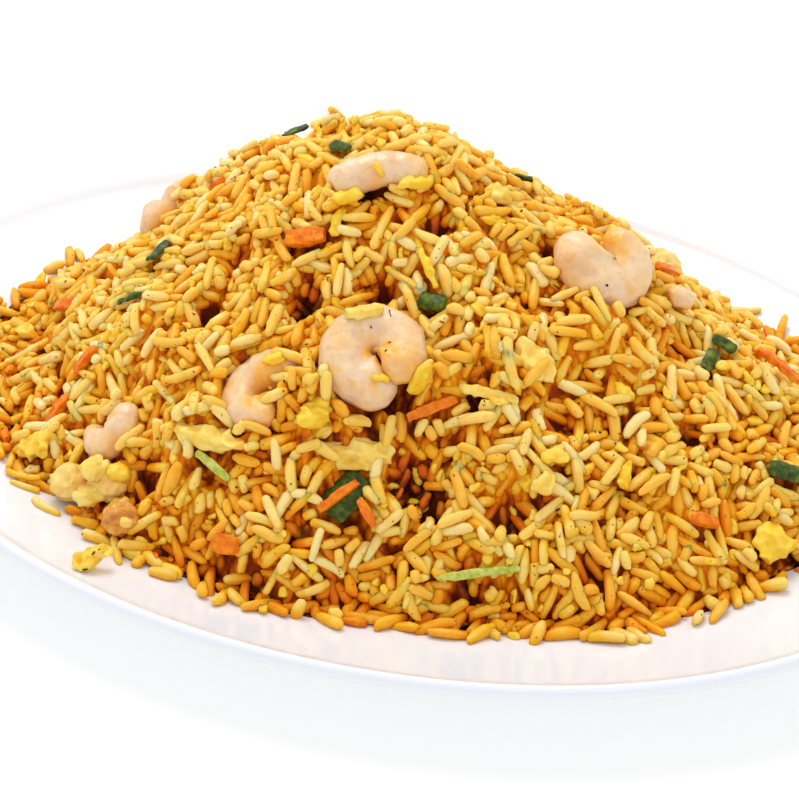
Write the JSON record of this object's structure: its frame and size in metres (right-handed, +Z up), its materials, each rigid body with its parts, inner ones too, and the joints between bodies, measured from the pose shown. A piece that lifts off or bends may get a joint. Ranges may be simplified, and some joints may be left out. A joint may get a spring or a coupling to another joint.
{
  "type": "fried rice",
  "caption": "Shrimp fried rice heaped high on a white oval platter, with curled shrimps, egg, chicken, carrot shreds and cut scallion.",
  "frame": {"origin": "on the table under the middle of the platter", "axes": "+X along the platter's long axis, +Y across it, +Z up"},
  "size_m": [0.284, 0.2028, 0.0796],
  "materials": {
    "glaze": "glossy",
    "rice": "satin",
    "shrimp": "satin",
    "chicken": "satin",
    "egg": "satin",
    "carrot": "satin",
    "scallion": "satin",
    "pale_scallion": "satin"
  },
  "bodies": {
    "root": {"platter": "glaze", "rice": "rice", "shrimp_front": "shrimp", "shrimp_left": "shrimp", "shrimp_peak": "shrimp", "shrimp_right": "shrimp", "shrimp_low_left": "shrimp", "shrimp_back": "shrimp", "shrimp_back_left": "shrimp", "shrimp_scrap": "shrimp", "chicken_edge": "chicken", "chicken_pale": "chicken", "chicken_brown": "chicken", "chicken_back": "chicken", "egg_strip": "egg", "egg_flat": "egg", "egg_chunk": "egg", "egg_high": "egg", "egg_hollow": "egg", "egg_centre": "egg", "egg_orange": "egg", "egg_right": "egg", "egg_low_right": "egg", "egg_rim": "egg", "egg_left": "egg", "egg_far_left": "egg", "egg_back": "egg", "egg_back_high": "egg", "carrot_right": "carrot", "carrot_far_right": "carrot", "carrot_centre": "carrot", "carrot_hollow": "carrot", "carrot_hollow_low": "carrot", "carrot_high": "carrot", "carrot_left_high": "carrot", "carrot_left": "carrot", "carrot_left_low": "carrot", "carrot_low": "carrot", "carrot_low_right": "carrot", "carrot_back": "carrot", "carrot_back_left": "carrot", "egg_sliver": "egg", "egg_thread": "egg", "egg_curl": "egg", "egg_peak": "egg", "scallion_pale": "pale_scallion", "scallion_pale_low": "pale_scallion", "scallion_sliver": "scallion", "scallion_centre": "scallion", "scallion_left": "scallion", "scallion_peak": "scallion", "scallion_ridge": "scallion", "scallion_right_low": "scallion", "scallion_right_high": "scallion", "scallion_far_right": "scallion", "scallion_hollow": "scallion", "scallion_back": "scallion", "scallion_back_low": "scallion", "crumb": "egg"}
  },
  "joints": []
}
